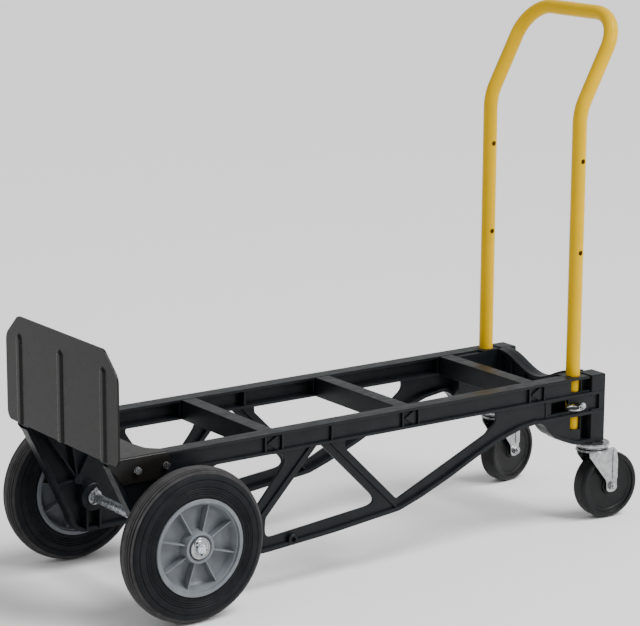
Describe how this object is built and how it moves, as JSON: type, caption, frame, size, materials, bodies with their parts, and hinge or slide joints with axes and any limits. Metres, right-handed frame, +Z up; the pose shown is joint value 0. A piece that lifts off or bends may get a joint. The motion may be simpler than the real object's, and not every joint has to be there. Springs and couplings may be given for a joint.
{
  "type": "convertible hand truck",
  "caption": "Convertible hand truck set up as a low platform truck: moulded truss sides, ribbed nose plate, large main wheels, swivel casters and a looped push handle.",
  "frame": {"origin": "centre of the footprint, on the floor, midway between the front edge of the main wheels and the back edge of the caster wheels", "axes": "+X along the deck towards the push handle and the casters, +Z up, +Y towards the far side"},
  "size_m": [1.0958, 0.441, 0.9103],
  "materials": {
    "nylon": "satin, glass-filled nylon moulding",
    "plate_steel": "dark bronze-black semi-gloss powder coat",
    "yellow_coat": "glossy yellow powder coat",
    "zinc": "bright zinc plate",
    "tyre_rubber": "matte moulded rubber",
    "hub_grey": "satin grey moulding",
    "hard_rubber": "semi-gloss hard rubber"
  },
  "bodies": {
    "frame": {"side_frame_near": "nylon", "side_frame_far": "nylon", "crossbar_front": "nylon", "crossbar_middle": "nylon", "crossbar_rear": "nylon", "end_cross_member": "nylon", "nose_plate": "plate_steel", "nose_bolt_near_1": "zinc", "nose_bolt_near_2": "zinc", "nose_nut_near_1": "zinc", "nose_nut_near_2": "zinc", "nose_bolt_far_1": "zinc", "nose_bolt_far_2": "zinc", "nose_nut_far_1": "zinc", "nose_nut_far_2": "zinc", "axle": "zinc", "inner_washer_near": "zinc", "wheel_spacer_near": "zinc", "outer_washer_near": "zinc", "inner_cotter_near": "zinc", "outer_cotter_near": "zinc", "caster_plate_near": "zinc", "inner_washer_far": "zinc", "wheel_spacer_far": "zinc", "outer_washer_far": "zinc", "inner_cotter_far": "zinc", "outer_cotter_far": "zinc", "caster_plate_far": "zinc"},
    "handle": {"handle": "yellow_coat"},
    "lock_near": {"lock_pin_near": "zinc", "pull_ring_near": "zinc"},
    "lock_far": {"lock_pin_far": "zinc", "pull_ring_far": "zinc"},
    "wheel_near": {"tyre_near": "tyre_rubber", "hub_near": "hub_grey", "sleeve_near": "zinc"},
    "wheel_far": {"tyre_far": "tyre_rubber", "hub_far": "hub_grey", "sleeve_far": "zinc"},
    "swivel_near": {"caster_race_near": "zinc", "caster_fork_near": "zinc", "caster_kingpin_near": "zinc", "caster_bush_near": "zinc", "caster_bolt_near": "zinc", "caster_nut_near": "zinc"},
    "swivel_far": {"caster_race_far": "zinc", "caster_fork_far": "zinc", "caster_kingpin_far": "zinc", "caster_bush_far": "zinc", "caster_bolt_far": "zinc", "caster_nut_far": "zinc"},
    "roller_near": {"caster_wheel_near": "hard_rubber"},
    "roller_far": {"caster_wheel_far": "hard_rubber"}
  },
  "joints": [
    {"name": "handle_lift", "type": "slide", "parent": "frame", "child": "handle", "axis": [0, 0, 1], "range_m": [0, 0.09]},
    {"name": "lock_near_slide", "type": "slide", "parent": "frame", "child": "lock_near", "axis": [0, -1, 0], "range_m": [-0.011, 0.003]},
    {"name": "lock_far_slide", "type": "slide", "parent": "frame", "child": "lock_far", "axis": [0, 1, 0], "range_m": [-0.011, 0.003]},
    {"name": "wheel_near_spin", "type": "hinge", "parent": "frame", "child": "wheel_near", "pos_m": [-0.42134, -0.1916, 0.127], "axis": [0, 1, 0], "continuous": true},
    {"name": "wheel_far_spin", "type": "hinge", "parent": "frame", "child": "wheel_far", "pos_m": [-0.42134, 0.1916, 0.127], "axis": [0, 1, 0], "continuous": true},
    {"name": "caster_near_swivel", "type": "hinge", "parent": "frame", "child": "swivel_near", "pos_m": [0.45496, -0.135, 0.133], "axis": [0, 0, 1], "continuous": true},
    {"name": "caster_far_swivel", "type": "hinge", "parent": "frame", "child": "swivel_far", "pos_m": [0.45496, 0.135, 0.133], "axis": [0, 0, 1], "continuous": true},
    {"name": "caster_near_roll", "type": "hinge", "parent": "swivel_near", "child": "roller_near", "pos_m": [0.48588, -0.13716, 0.061], "axis": [0.0698, 0.9976, 0], "continuous": true},
    {"name": "caster_far_roll", "type": "hinge", "parent": "swivel_far", "child": "roller_far", "pos_m": [0.48544, 0.14065, 0.061], "axis": [-0.1822, 0.9833, 0], "continuous": true}
  ]
}
